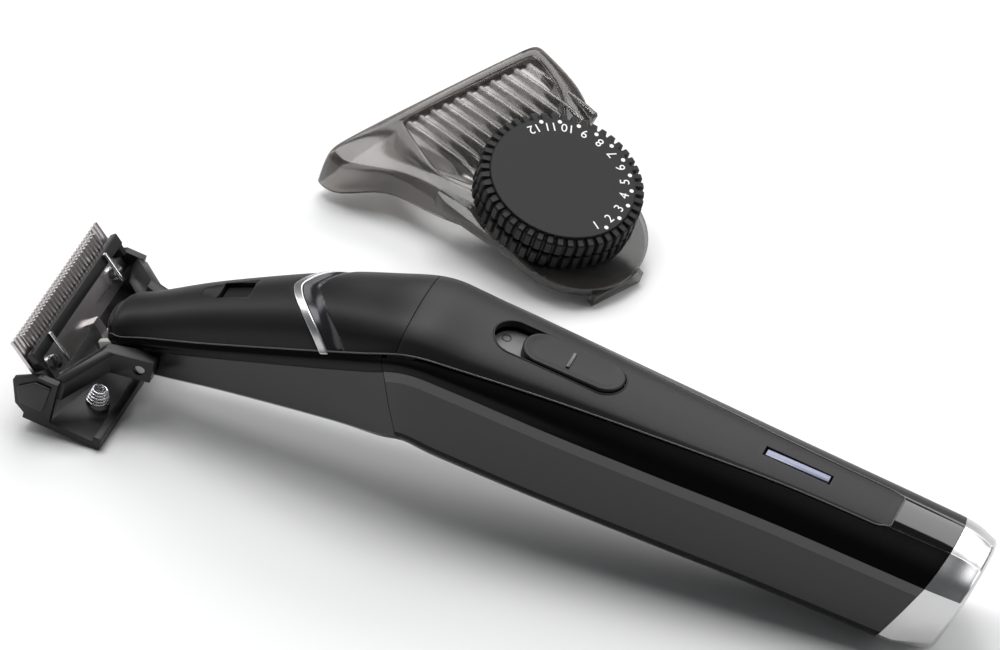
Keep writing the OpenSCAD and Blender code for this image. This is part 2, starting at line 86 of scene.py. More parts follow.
comb_out = -Vector(joints["comb_length"]["axis"]).normalized()
comb_up = Vector(joints["dial_turn"]["axis"]).normalized()
comb_side = comb_up.cross(comb_out)
dial_top = Vector(joints["dial_turn"]["pos_m"]) / MM


def lay_comb(x, y, z):
    """A point of the comb's own frame, in mm: the origin is the middle of the dial's face."""
    return (dial_top + comb_out * x + comb_side * y + comb_up * z) * MM


print("handle runs along", along, "and the dial faces", comb_up)

# %% [markdown]
# ## Camera, floor and light
# The camera looks down from the front left with a long lens, so that parallel edges stay nearly
# parallel, and rolls a little. The floor is a large plain plane. One wide softbox behind gives the
# long rim highlights, a second overhead lights the matte faces, and the dark ceiling leaves the
# gloss shell black.
# %% Camera
AZIMUTH = math.radians(18.6)
ELEVATION = math.radians(40.56)
ROLL = math.radians(4.6)
WIDTH_PER_MM = 5.5
LENS = 300.0
SENSOR = 36.0
IMAGE_W = 1000

look_back = Vector((math.sin(AZIMUTH) * math.cos(ELEVATION),
                    -math.cos(AZIMUTH) * math.cos(ELEVATION), math.sin(ELEVATION)))
level = Vector((math.cos(AZIMUTH), math.sin(AZIMUTH), 0))
level_up = look_back.cross(level)
right = level * math.cos(ROLL) + level_up * math.sin(ROLL)
up = look_back.cross(right)
aim = lay(0, 0, 0) + (right * 15.6 + up * 5.6) * MM
distance = LENS / SENSOR * IMAGE_W / WIDTH_PER_MM * MM
camera_data = bpy.data.cameras.new("camera")
camera_data.lens = LENS
camera_data.sensor_width = SENSOR
camera_data.clip_start = 0.05
camera = bpy.data.objects.new("camera", camera_data)
bpy.context.scene.collection.objects.link(camera)
turn = Matrix((right, up, look_back)).transposed().to_4x4()
camera.matrix_world = Matrix.Translation(aim + look_back * distance) @ turn
bpy.context.scene.camera = camera
print("camera stands", round(distance, 3), "m away")

# %% [markdown]
# Area lights make soft studio light: their size sets how soft a shadow is and how wide a highlight
# runs along a gloss edge.


# %% Floor and lights
def deselect():
    if bpy.context.object and bpy.context.object.mode != "OBJECT":
        bpy.ops.object.mode_set(mode="OBJECT")
    bpy.ops.object.select_all(action="DESELECT")


deselect()
bpy.ops.mesh.primitive_plane_add(size=6, location=(0, 0, -0.0002))
floor = bpy.context.object
floor.name = "floor"
floor_paint = bpy.data.materials.new("floor_paint")
floor_paint.use_nodes = True
floor_shader = floor_paint.node_tree.nodes["Principled BSDF"]
floor_shader.inputs["Base Color"].default_value = (0.86, 0.86, 0.86, 1)
floor_shader.inputs["Roughness"].default_value = 0.9
floor_shader.inputs["Specular IOR Level"].default_value = 0.1
floor.data.materials.append(floor_paint)


def softbox(name, place, size, power):
    data = bpy.data.lights.new(name, "AREA")
    data.shape = "RECTANGLE"
    data.size, data.size_y = size
    data.energy = power
    lamp = bpy.data.objects.new(name, data)
    bpy.context.scene.collection.objects.link(lamp)
    lamp.location = aim + Vector(place)
    lamp.rotation_euler = (-Vector(place)).to_track_quat("-Z", "Y").to_euler()
    return lamp


softbox("softbox_back", (0.10, 0.95, 0.75), (1.6, 0.6), 10)
softbox("softbox_top", (-0.25, 0.25, 1.1), (0.9, 0.6), 11)
softbox("softbox_left", (-1.0, 0.1, 0.5), (0.4, 0.9), 4)
softbox("softbox_right", (1.1, 0.2, 0.6), (0.4, 0.9), 4)
world = bpy.data.worlds.new("studio")
world.use_nodes = True
world.node_tree.nodes["Background"].inputs["Color"].default_value = (0.8, 0.82, 0.85, 1)
world.node_tree.nodes["Background"].inputs["Strength"].default_value = 0.14
bpy.context.scene.world = world
bpy.context.scene.view_settings.view_transform = "Standard"
print("floor, four softboxes and a dim studio")

# %% [markdown]
# ## Finishes
# Three effects are shared by many finishes, so each is a node group that is built once: `grain`
# gives the fine tooth of moulded plastic, `brushing` gives the drawn lines of ground metal, and
# `edge_wear` finds worn edges. Each puts out plain values that a finish mixes in its own way.


# %% Shared effects
def new_group(name, inputs, outputs):
    group = bpy.data.node_groups.new(name, "ShaderNodeTree")
    for label, value in inputs:
        socket = group.interface.new_socket(label, in_out="INPUT", socket_type="NodeSocketFloat")
        socket.default_value = value
    for label in outputs:
        group.interface.new_socket(label, in_out="OUTPUT", socket_type="NodeSocketFloat")
    entry = group.nodes.new("NodeGroupInput")
    leave = group.nodes.new("NodeGroupOutput")
    return group, entry, leave


def maths(tree, kind, first, second=0.0, clamp=False):
    node = tree.nodes.new("ShaderNodeMath")
    node.operation = kind
    node.use_clamp = clamp
    for socket, value in zip(node.inputs, (first, second)):
        if isinstance(value, (int, float)):
            socket.default_value = value
        else:
            tree.links.new(value, socket)
    return node.outputs[0]


def noise(tree, scale, detail=3.0, stretch=None):
    place = tree.nodes.new("ShaderNodeTexCoord").outputs["Object"]
    if stretch:
        mapping = tree.nodes.new("ShaderNodeMapping")
        mapping.inputs["Scale"].default_value = stretch
        tree.links.new(place, mapping.inputs["Vector"])
        place = mapping.outputs["Vector"]
    node = tree.nodes.new("ShaderNodeTexNoise")
    node.inputs["Detail"].default_value = detail
    tree.links.new(place, node.inputs["Vector"])
    if isinstance(scale, (int, float)):
        node.inputs["Scale"].default_value = scale
    else:
        tree.links.new(scale, node.inputs["Scale"])
    return node.outputs["Fac"]


grain, entry, leave = new_group("grain", [("Scale", 4000.0), ("Soft Scale", 60.0)], ["Fine", "Broad"])
grain.links.new(noise(grain, entry.outputs["Scale"], 2.0), leave.inputs["Fine"])
grain.links.new(noise(grain, entry.outputs["Soft Scale"], 4.0), leave.inputs["Broad"])

brushing, entry, leave = new_group("brushing", [("Scale", 900.0)], ["Lines"])
lines = noise(brushing, entry.outputs["Scale"], 4.0, (1.0, 0.04, 1.0))
brushing.links.new(lines, leave.inputs["Lines"])

edge_wear, entry, leave = new_group("edge_wear", [("Amount", 0.3), ("Patch Scale", 500.0)], ["Mask"])
pointed = edge_wear.nodes.new("ShaderNodeNewGeometry").outputs["Pointiness"]
sharp = maths(edge_wear, "MULTIPLY", maths(edge_wear, "SUBTRACT", pointed, 0.52), 9.0, clamp=True)
patchy = noise(edge_wear, entry.outputs["Patch Scale"], 3.0)
worn = maths(edge_wear, "MULTIPLY", maths(edge_wear, "MULTIPLY", sharp, patchy), entry.outputs["Amount"])
edge_wear.links.new(worn, leave.inputs["Mask"])
print("effects:", [group.name for group in bpy.data.node_groups])


# %% [markdown]
# A finish is a Principled shader whose colour drifts a little between two tones with the broad
# grain, whose roughness and bump come from the fine grain or the brushing, and whose edges lighten
# where a hand has rubbed them. What is the same all over is set straight on the shader.
# %% The finish builder
GRAIN_SCALE = 4000.0
DRIFT_SCALE = 45.0
BRUSH_SCALE = 1600.0
COAT_ROUGHNESS = 0.04
TOOTH_DEPTH = 0.00006


def finish(name, tone, rough, metal=0.0, tooth=0.05, drift=0.12, wear=0.0,
           brushed=False, coat=0.0, spec=0.5, ior=1.5, rough_spread=0.12):
    paint = bpy.data.materials.new(name)
    paint.use_nodes = True
    tree = paint.node_tree
    shader = tree.nodes["Principled BSDF"]
    shader.inputs["Metallic"].default_value = metal
    shader.inputs["Specular IOR Level"].default_value = spec
    shader.inputs["IOR"].default_value = ior
    shader.inputs["Coat Weight"].default_value = coat
    shader.inputs["Coat Roughness"].default_value = COAT_ROUGHNESS
    effect = tree.nodes.new("ShaderNodeGroup")
    effect.node_tree = grain
    effect.inputs["Scale"].default_value = GRAIN_SCALE
    effect.inputs["Soft Scale"].default_value = DRIFT_SCALE
    fine = effect.outputs["Fine"]
    if brushed:
        lines_node = tree.nodes.new("ShaderNodeGroup")
        lines_node.node_tree = brushing
        lines_node.inputs["Scale"].default_value = BRUSH_SCALE
        fine = lines_node.outputs["Lines"]
    blend = tree.nodes.new("ShaderNodeMix")
    blend.data_type = "RGBA"
    blend.inputs["A"].default_value = (*[c * (1 - drift) for c in tone], 1)
    blend.inputs["B"].default_value = (*[min(1, c * (1 + drift)) for c in tone], 1)
    tree.links.new(effect.outputs["Broad"], blend.inputs["Factor"])
    colour = blend.outputs["Result"]
    if wear:
        wear_node = tree.nodes.new("ShaderNodeGroup")
        wear_node.node_tree = edge_wear
        wear_node.inputs["Amount"].default_value = wear
        rub = tree.nodes.new("ShaderNodeMix")
        rub.data_type = "RGBA"
        tree.links.new(wear_node.outputs["Mask"], rub.inputs["Factor"])
        tree.links.new(colour, rub.inputs["A"])
        rub.inputs["B"].default_value = (*[min(1, c * 2.5 + 0.03) for c in tone], 1)
        colour = rub.outputs["Result"]
    tree.links.new(colour, shader.inputs["Base Color"])
    spread = maths(tree, "MULTIPLY", maths(tree, "SUBTRACT", fine, 0.5), rough_spread)
    tree.links.new(maths(tree, "ADD", spread, rough, clamp=True), shader.inputs["Roughness"])
    if tooth:
        bump = tree.nodes.new("ShaderNodeBump")
        bump.inputs["Strength"].default_value = tooth
        bump.inputs["Distance"].default_value = TOOTH_DEPTH
        tree.links.new(fine, bump.inputs["Height"])
        tree.links.new(bump.outputs["Normal"], shader.inputs["Normal"])
    return paint


gloss_black = finish("gloss_black", (0.0012, 0.0012, 0.0014), 0.07, tooth=0.0, rough_spread=0.03, coat=0.4)
# The side facet's lighter grey is a painted reflection of the pale floor. On the real shell that light comes
# from reflection alone.
facet_painted_reflection = finish("facet_painted_reflection", (0.005, 0.005, 0.0055), 0.2, tooth=0.02, rough_spread=0.06, drift=0.06)
# This lighter grey is a painted highlight, used on the shell's bevel strip, the seam lip and the switch's
# marker bar.
grey_painted_highlight = finish("grey_painted_highlight", (0.06, 0.06, 0.062), 0.25, tooth=0.0, rough_spread=0.05, drift=0.05)
graphite = finish("graphite", (0.006, 0.0058, 0.0057), 0.46, tooth=0.22, wear=0.25, spec=0.32)
matte_black = finish("matte_black", (0.0035, 0.0035, 0.0037), 0.48, tooth=0.25, spec=0.32)
thumb_black = finish("thumb_black", (0.0035, 0.0035, 0.0037), 0.42, tooth=0.2, spec=0.3)
gunmetal = finish("gunmetal", (0.03, 0.03, 0.034), 0.22, metal=0.55, tooth=0.03, rough_spread=0.06)
dark_grey = finish("dark_grey", (0.0045, 0.0045, 0.0047), 0.38, tooth=0.15, wear=0.35, spec=0.35)
pad_grey = finish("pad_grey", (0.009, 0.009, 0.0095), 0.5, tooth=0.3)
satin_silver = finish("satin_silver", (0.6, 0.6, 0.605), 0.3, metal=1.0, tooth=0.05, drift=0.03)
dull_silver = finish("dull_silver", (0.45, 0.45, 0.46), 0.34, metal=1.0, tooth=0.05, drift=0.03)
ground_steel = finish("ground_steel", (0.48, 0.455, 0.45), 0.3, metal=1.0, tooth=0.12, brushed=True, wear=0.3)
bright_wire = finish("bright_wire", (0.75, 0.75, 0.77), 0.16, metal=1.0, tooth=0.0, drift=0.03)
lever_grey = finish("lever_grey", (0.5, 0.5, 0.48), 0.4, tooth=0.1)
brass_pin = finish("brass_pin", (0.78, 0.58, 0.28), 0.22, metal=1.0, tooth=0.03)
seal_rubber = finish("seal_rubber", (0.015, 0.015, 0.015), 0.7, tooth=0.3)
label_grey = finish("label_grey", (0.16, 0.16, 0.163), 0.5, tooth=0.05, drift=0.04)
print_dark = finish("print_dark", (0.03, 0.03, 0.03), 0.5, tooth=0.0)
print_white = finish("print_white", (0.82, 0.82, 0.8), 0.45, tooth=0.05, drift=0.03)
recess_black = finish("recess_black", (0.002, 0.002, 0.002), 0.6, tooth=0.1, spec=0.2)
band_black = finish("band_black", (0.0015, 0.0015, 0.0016), 0.3, tooth=0.0, spec=0.12)
light_lens = finish("light_lens", (0.205, 0.22, 0.33), 0.3, tooth=0.02, drift=0.1, coat=0.3)
cell_sleeve = finish("cell_sleeve", (0.05, 0.2, 0.12), 0.35, tooth=0.05)
board_green = finish("board_green", (0.01, 0.11, 0.04), 0.3, tooth=0.05)
dial_black = finish("dial_black", (0.0035, 0.0035, 0.0037), 0.5, spec=0.26, tooth=0.12, wear=0.4)
print("finishes:", len(bpy.data.materials))


# %% [markdown]
# The comb is moulded in smoked clear plastic. It is a transmissive shader with a dark tint, and a
# little roughness keeps what lies behind it soft, as a moulded surface does.
# %% Smoked plastic
smoke = finish("smoke", (0.2, 0.185, 0.175), 0.12, tooth=0.04, drift=0.05, rough_spread=0.08, ior=1.49)
smoke.node_tree.nodes["Principled BSDF"].inputs["Transmission Weight"].default_value = 0.92

smoke_rib = finish("smoke_rib", (0.8, 0.78, 0.76), 0.08, tooth=0.02, drift=0.04, rough_spread=0.05, ior=1.49)
smoke_rib.node_tree.nodes["Principled BSDF"].inputs["Transmission Weight"].default_value = 0.97

# %% [markdown]
# ## Helpers for the modelling
# Most new pieces start from a primitive: a grid, a cube or a cylinder, carried into place point by
# point and finished with modifiers that are applied. The dial, the comb's housing, ribs and clip are
# lists of computed points instead, because their outlines follow rules. Every finished mesh holds
# its own place, so its object stays at the origin, like a CAD node's.


# %% Modelling helpers
def apply_all(piece):
    deselect()
    piece.select_set(True)
    bpy.context.view_layer.objects.active = piece
    for modifier in list(piece.modifiers):
        bpy.ops.object.modifier_apply(modifier=modifier.name)


def solidify(piece, thickness):
    modifier = piece.modifiers.new("wall", "SOLIDIFY")
    modifier.thickness = thickness * MM
    modifier.offset = -1.0


def prism(piece, depth):
    """Closes a sheet into a solid by pulling it straight down, away from the front."""
    deselect()
    piece.select_set(True)
    bpy.context.view_layer.objects.active = piece
    bpy.ops.object.mode_set(mode="EDIT")
    bpy.ops.mesh.select_all(action="SELECT")
    bpy.ops.mesh.extrude_region_move(TRANSFORM_OT_translate={"value": front * (-depth * MM)})
    bpy.ops.object.mode_set(mode="OBJECT")
    outward(piece)


def bevel(piece, width, segments=2, angle=38):
    modifier = piece.modifiers.new("bevel", "BEVEL")
    modifier.width = width * MM
    modifier.segments = segments
    modifier.limit_method = "ANGLE"
    modifier.angle_limit = math.radians(angle)
    modifier.miter_outer = "MITER_ARC"


def cut(piece, tool):
    outward(piece)
    modifier = piece.modifiers.new("cut", "BOOLEAN")
    modifier.operation = "DIFFERENCE"
    modifier.solver = "MANIFOLD"
    modifier.object = tool
    apply_all(piece)
    bpy.data.objects.remove(tool)


def smooth(piece, angle=30):
    deselect()
    piece.select_set(True)
    bpy.context.view_layer.objects.active = piece
    bpy.ops.object.shade_smooth_by_angle(angle=math.radians(angle))


def outward(piece):
    deselect()
    piece.select_set(True)
    bpy.context.view_layer.objects.active = piece
    bpy.ops.object.mode_set(mode="EDIT")
    bpy.ops.mesh.select_all(action="SELECT")
    bpy.ops.mesh.remove_doubles(threshold=0.0000004)
    bpy.ops.mesh.normals_make_consistent(inside=False)
    bpy.ops.object.mode_set(mode="OBJECT")


def hand_over(piece, name, body, paints, angle=30, stands_for=()):
    """Names, smooths and paints a finished piece and says what it rides on."""
    piece.name = name
    smooth(piece, angle)
    if not isinstance(paints, (list, tuple)):
        paints = [paints]
    if not any(piece.data.materials):
        piece.data.materials.clear()
        for paint in paints:
            piece.data.materials.append(paint)
    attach(piece, body)
    if stands_for:
        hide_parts(*stands_for)
    return piece


def box_piece(size, place, carry=lay):
    """A box primitive with its middle at place, set down by carry."""
    deselect()
    bpy.ops.mesh.primitive_cube_add(size=1)
    piece = bpy.context.object
    for vertex in piece.data.vertices:
        x, y, z = (vertex.co[i] * size[i] + place[i] for i in range(3))
        vertex.co = carry(x, y, z)
    outward(piece)
    return piece


def disc_piece(radius, height, place, carry=lay, sides=64, stretch=0.0):
    """A cylinder primitive standing on place; stretch pulls its two halves apart along x."""
    deselect()
    bpy.ops.mesh.primitive_cylinder_add(vertices=sides, radius=1, depth=1)
    piece = bpy.context.object
    for vertex in piece.data.vertices:
        x, y, z = vertex.co
        slide = stretch if x > 1e-6 else (-stretch if x < -1e-6 else 0)
        vertex.co = carry(x * radius + slide + place[0], y * radius + place[1], (z + 0.5) * height + place[2])
    outward(piece)
    return piece


def rod(name, points, radius, sides=10, closed=False):
    """A round wire along a list of points in metres."""
    curve = bpy.data.curves.new(name, "CURVE")
    curve.dimensions = "3D"
    curve.bevel_depth = radius * MM
    curve.bevel_resolution = max(1, sides // 4)
    curve.use_fill_caps = not closed
    spline = curve.splines.new("POLY")
    spline.points.add(len(points) - 1)
    spline.use_cyclic_u = closed
    for point, place in zip(spline.points, points):
        point.co = (*place, 1)
    wire = bpy.data.objects.new(name, curve)
    bpy.context.scene.collection.objects.link(wire)
    deselect()
    wire.select_set(True)
    bpy.context.view_layer.objects.active = wire
    bpy.ops.object.convert(target="MESH")
    return bpy.context.object


print("helpers ready")

# %% [markdown]
# ## The body's surface
# The casing is one flowing surface that is split into pieces by its seams. A row of stations from
# the neck's tip to the handle's end says how the cross-section changes: where its seam lies, how it
# tilts, how high it crowns, where its two creases are and how deep it is. Between stations every
# number flows along a smooth curve, so the surface has no kinks but its two moulded creases.


# %% Stations
def neck_station(distance_along, seam_w, crown, crease_1, crease_2, depth, tilt=1.0):
    return [-distance_along * neck_cos, SEAM_Z - distance_along * neck_sin, -NECK_ANGLE * tilt,
            seam_w, crown, *crease_1, *crease_2, depth]


def handle_station(x, seam_z, tilt, inset, crown, crease_1, crease_2, loss):
    return [x, seam_z, tilt, HALF_W - inset, crown, HALF_W - crease_1[0], crease_1[1],
            HALF_W - crease_2[0], crease_2[1], DEPTH - loss]


TIP_W = 6.3
STATIONS = [
    neck_station(NECK_LEN, TIP_W - 1.5, 2.6, (TIP_W - 1.2, -2), (TIP_W - 1.2, -5.5), 7),
    neck_station(NECK_LEN - 2.5, TIP_W - 0.4, 4, (TIP_W - 0.2, -3), (TIP_W - 0.2, -7), 9),
    neck_station(NECK_LEN * 0.87, TIP_W, 4.6, (TIP_W + 0.2, -3), (TIP_W + 0.2, -8.4), 10.6),
    neck_station(NECK_LEN * 0.66, 8, 6.3, (8.2, -3.2), (8.2, -10.4), 13.4),
    neck_station(NECK_LEN * 0.33, 10, 7.4, (10.4, -3.6), (10.5, -14.9), 18.6),
    neck_station(NECK_LEN * 0.14, 11, 6.4, (11.8, -3.5), (12.2, -17), 21.6, 0.75),
    handle_station(1.5, SEAM_Z + 0.4, -NECK_ANGLE * 0.3, 2, 4.7, (0.4, -3.2), (0, -17.6), 1.6),
    handle_station(12, 11.4, 0, 2.9, 3.3, (0.5, -3.6), (0, -18.6), 0.4),
    handle_station(30, 12.2, 0, 4.6, 2.2, (0.9, -4.6), (0.4, -19.6), 0),
    handle_station(50, 12.5, 0, 6.3, 1.3, (1.4, -4.6), (0.8, -19.4), 0.4),
    handle_station(73, 12.6, 0, 8, 0.7, (2.2, -4.4), (1.4, -19), 1),
    handle_station(97, 12.1, 0, 8.6, 0.6, (2.6, -4.2), (1.9, -18.4), 1.8),
    handle_station(106, 11.8, END_SLANT, 8.9, 0.5, (2.9, -4.2), (2.2, -18), 2.2),
    handle_station(HANDLE_LEN, 10.6, END_SLANT, 9.4, 0.4, (4, -3.8), (3.4, -16), 3.6),
]
LAST = len(STATIONS) - 1


def flow(a, b, c, d, t):
    """The smooth curve through b and c that heads from a and towards d."""
    return 0.5 * (2 * b + (c - a) * t + (2 * a - 5 * b + 4 * c - d) * t * t
                  + (3 * b - a - 3 * c + d) * t ** 3)


def station(s):
    s = min(max(s, 0.0), LAST - 1e-6)
    i = int(s)
    rows = [STATIONS[min(max(k, 0), LAST)] for k in (i - 1, i, i + 1, i + 2)]
    return [flow(*values, s - i) for values in zip(*rows)]


def station_at(x):
    """The station number whose seam lies at x along the handle."""
    low, high = 0.0, float(LAST)
    for _ in range(40):
        middle = (low + high) / 2
        if station(middle)[0] < x:
            low = middle
        else:
            high = middle
    return low


print(len(STATIONS), "stations, bend at", round(station_at(0), 2))

# %% [markdown]
# Round each cross-section runs a second measure, v: 0 is the crown, 3 the seam, 5 the upper crease,
# 7 the lower crease and 10 the middle of the back. Negative v is the near side. `skin` turns a
# station number and v into a point, and `sheet` lays a grid primitive over any stretch of it.
# %% The skin
SEAM, CREASE_1, CREASE_2, BACK = 3, 5, 7, 10


def outline(row, v):
    w, crown, y1, z1, y2, z2, depth = row[3:]
    points = [(0, crown), (w * 0.5, crown * 0.86), (w * 0.83, crown * 0.5), (w, 0),
              ((w + y1) / 2 + 0.7, z1 * 0.42), (y1, z1), (y2 + 0.15, (z1 + z2) / 2), (y2, z2),
              (y2 * 0.84, z2 * 0.52 - depth * 0.48), (y2 * 0.5, z2 * 0.2 - depth * 0.8), (0, -depth)]
    side = -1 if v < 0 else 1
    v = min(abs(v), BACK - 1e-9)
    i = int(v)
    before = points[i - 1] if i else (-points[1][0], points[1][1])
    after = points[i + 2] if i + 2 < len(points) else (-points[9][0], points[9][1])
    here, there = points[i], points[i + 1]
    if i in (CREASE_1, CREASE_2):
        before = tuple(2 * here[k] - there[k] for k in (0, 1))
    if i + 1 in (CREASE_1, CREASE_2):
        after = tuple(2 * there[k] - here[k] for k in (0, 1))
    y, z = (flow(before[k], here[k], there[k], after[k], v - i) for k in (0, 1))
    return side * y, z


def skin_mm(s, v):
    row = station(s)
    y, z = outline(row, v)
    tilt = math.radians(row[2])
    return row[0] + z * math.sin(tilt), y, row[1] + z * math.cos(tilt)


def skin_normal(s, v):
    step = 0.004
    a = Vector(skin_mm(s + step, v)) - Vector(skin_mm(s - step, v))
    b = Vector(skin_mm(s, v + step)) - Vector(skin_mm(s, v - step))
    return a.cross(b).normalized()


def face_out(piece, centre):
    """Turns a sheet's faces away from a point inside the body."""
    middle = piece.data.polygons[len(piece.data.polygons) // 2]
    if middle.normal.dot(middle.center - centre) < 0:
        piece.data.flip_normals()


def sheet(s_range, v_range, counts, lift=0.0):
    """A grid primitive laid over the skin. s_range and v_range give ends, or functions of v."""
    deselect()
    bpy.ops.mesh.primitive_grid_add(x_subdivisions=counts[0], y_subdivisions=counts[1], size=2)
    piece = bpy.context.object
    v_low, v_high = v_range
    for vertex in piece.data.vertices:
        v = v_low + (v_high - v_low) * (vertex.co.y + 1) / 2
        ends = [end(v) if callable(end) else end for end in s_range]
        s = ends[0] + (ends[1] - ends[0]) * (vertex.co.x + 1) / 2
        place = Vector(skin_mm(s, v))
        height = lift(s, v) if callable(lift) else lift
        if height:
            place = place + skin_normal(s, v) * height
        vertex.co = lay(*place)
    s_mid = sum(end(0.5) if callable(end) else end for end in s_range) / 2
    seam_x, seam_z = station(s_mid)[0:2]
    face_out(piece, lay(seam_x, 0, seam_z - 4))
    return piece


print("crown at the switch", [round(c, 1) for c in skin_mm(station_at(26), 0)])

# %% [markdown]
# ## Seam lines
# The front panel ends in a rounded corner, the silver trim is a V that points at the head, and the
# neck meets the handle along a slanted line. Each is a rule that gives a station number for every v,
# so the pieces on its two sides always meet.
# %% Seam rules
def remembered(rule):
    """The same rule, with each answer kept so that a row of a grid is worked out once."""
    known = {}

    def ask(v):
        key = round(v, 6)
        if key not in known:
            known[key] = rule(v)
        return known[key]
    return ask


PANEL_END = 93.0
PANEL_CORNER = 2.6
TRIM_AT = 24.4
TRIM_W = 1.8
TRIM_SWEEP = 7.4
TRIM_REACH = 10.4
GAP = 0.16


def seam_y(s):
    return station(s)[3]


def panel_limit(extra=0.0):
    def rule(v):
        w = seam_y(station_at(PANEL_END)) + extra
        y = min(abs(v) / SEAM, 1.0) * w
        over = max(0.0, y - (w - PANEL_CORNER))
        back = PANEL_CORNER - math.sqrt(max(0.0, PANEL_CORNER ** 2 - over ** 2))
        return station_at(PANEL_END + extra - back)
    return remembered(rule)


def chevron(point, extra=0.0):
    def rule(v):
        y = abs(skin_mm(4.0, v)[1])
        sweep = TRIM_SWEEP * (y / TRIM_REACH) ** 1.45
        return station_at(-(point - sweep + extra) * neck_cos)
    return remembered(rule)


def plane_line(x0, z0, lean):
    """Where a plane across the handle, leaning by so many degrees, meets the skin."""
    slope = math.tan(math.radians(lean))

    def rule(v):
        low, high = 0.0, float(LAST)
        for _ in range(26):
            middle = (low + high) / 2
            x, _, z = skin_mm(middle, v)
            if x < x0 + (z0 - z) * slope:
                low = middle
            else:
                high = middle
        return low
    return remembered(rule)


print("panel ends at station", round(panel_limit()(0), 2), "trim points at", round(chevron(TRIM_AT)(0), 2))

# %% [markdown]
# ## Rear shell
# The rear shell is moulded gloss black with a wide side facet between two creases, and a narrow
# bevel under the upper one. The facet is painted a lighter grey than the gloss, a painted reflection
# of the pale floor, and the bevel strip is painted a lighter grey, a painted highlight. A grid is wrapped
# right round the handle, given its wall, and the front panel's bed is cut out of it with a tool laid
# over the same skin.


# %% Paint by strip
def paint_strips(piece, v_range, rows, strips):
    """Gives each row of a fresh grid the material index of the strip that its v falls in."""
    columns = len(piece.data.polygons) // rows
    v_low, v_high = v_range
    for index, polygon in enumerate(piece.data.polygons):
        v = abs(v_low + (v_high - v_low) * (index // columns + 0.5) / rows)
        for material_index, (low, high) in enumerate(strips):
            if low <= v < high:
                polygon.material_index = material_index + 1


# The first strip is the side facet, painted lighter as a painted reflection. The second is the bevel under
# the upper crease, painted a lighter grey as a painted highlight.
FACET_STRIPS = [(CREASE_1 + 0.35, CREASE_2 - 0.05), (CREASE_1, CREASE_1 + 0.35),
                (CREASE_2 - 0.05, CREASE_2 + 0.3), (SEAM + 0.02, CREASE_1)]
BEND_LINE = (-4.3, 10.5, 23)
CAP_LINE = (105.5, 14, -20)


rows = 200
shell_ends = (plane_line(*BEND_LINE), plane_line(CAP_LINE[0] - 0.1, *CAP_LINE[1:]))
shell = sheet(shell_ends, (-BACK, BACK), (110, rows))
shell.data.materials.append(gloss_black)
for extra_paint in (facet_painted_reflection, grey_painted_highlight, recess_black, band_black):
    shell.data.materials.append(extra_paint)
paint_strips(shell, (-BACK, BACK), rows, FACET_STRIPS)
outward(shell)
solidify(shell, 1.5)
apply_all(shell)
bed = sheet((4.0, panel_limit(GAP)), (-SEAM - 0.04, SEAM + 0.04), (70, 30), lift=0.6)
prism(bed, 3.4)
cut(shell, bed)
hand_over(shell, "rear_shell_skin", "handle", gloss_black, 16, ["rear_shell"])
print("rear shell has", len(shell.data.polygons), "faces")

# %% [markdown]
# ## Neck underside
# The neck's lower half carries the same strips as the handle: a gloss band under the seam, then the
# facet, painted a lighter grey as a painted reflection. Its tip is rounded off by drawing the last rows
# inward.
# %% Neck underside
TIP_ROUND = 1.3


def tip_mm(s, v):
    """The skin with the neck's tip, below station 0, drawn in to a round end."""
    if s >= 0:
        return skin_mm(s, v)
    bend = min(-s, 1.0) * math.pi / 2
    x, y, z = skin_mm(0, v)
    row = STATIONS[0]
    mid_x, mid_z = row[0], row[1] - 2
    shrink = 1 - 0.32 * (1 - math.cos(bend))
    ahead = TIP_ROUND * math.sin(bend)
    return (mid_x + (x - mid_x) * shrink - ahead * neck_cos, y * shrink,
            mid_z + (z - mid_z) * shrink - ahead * neck_sin)


def wrap_back(v):
    return v if v <= BACK else v - 2 * BACK


def lay_grid(s_range, v_range, counts, surface, wrap=False):
    """A grid primitive whose every point is set by a surface rule of its own."""
    deselect()
    bpy.ops.mesh.primitive_grid_add(x_subdivisions=counts[0], y_subdivisions=counts[1], size=2)
    piece = bpy.context.object
    for vertex in piece.data.vertices:
        v = v_range[0] + (v_range[1] - v_range[0]) * (vertex.co.y + 1) / 2
        if wrap:
            v = wrap_back(v)
        ends = [end(v) if callable(end) else end for end in s_range]
        s = ends[0] + (ends[1] - ends[0]) * (vertex.co.x + 1) / 2
        vertex.co = lay(*surface(s, v))
    return piece


rows = 140
under_v = (SEAM + 0.03, 2 * BACK - SEAM - 0.03)
under_columns = 96
under_ends = (-1.0, plane_line(BEND_LINE[0] - 0.14, *BEND_LINE[1:]))
under = lay_grid(under_ends, under_v, (under_columns, rows), tip_mm, wrap=True)
face_out(under, lay(-27, 0, -8))
under.data.materials.append(band_black)
# The facet rows take the lighter grey, a painted reflection of the floor.
under.data.materials.append(facet_painted_reflection)
for index, polygon in enumerate(under.data.polygons):
    v = abs(wrap_back(under_v[0] + (under_v[1] - under_v[0]) * (index // under_columns + 0.5) / rows))
    polygon.material_index = 0 if v < CREASE_1 else 1
solidify(under, 1.4)
bevel(under, 0.15, 2, 60)
apply_all(under)
hand_over(under, "neck_underside_skin", "handle", gloss_black, 16, ["neck_underside"])
print("neck underside has", len(under.data.polygons), "faces")

# %% [markdown]
# ## Front panel
# The front panel is the matte graphite lid over the handle's front. It is a grid over the crown of
# the skin, given its thickness inwards. The switch slot and the light's window are cut through it
# with a stretched cylinder and a box, and the cut edges are bevelled.
# %% Front panel
SLOT_X, SLOT_LEN, SLOT_W = 26.0, 25.8, 8.5
LIGHT_X, LIGHT_LEN, LIGHT_W = 73.2, 13.0, 2.2


def crown_z(x, y=0.0):
    """Height of the front face over a point of the handle's plane."""
    s = station_at(x)
    low, high = 0.0, float(SEAM)
    for _ in range(24):
        middle = (low + high) / 2
        if skin_mm(s, middle)[1] < abs(y):
            low = middle
        else:
            high = middle
    return skin_mm(s, low)[2]


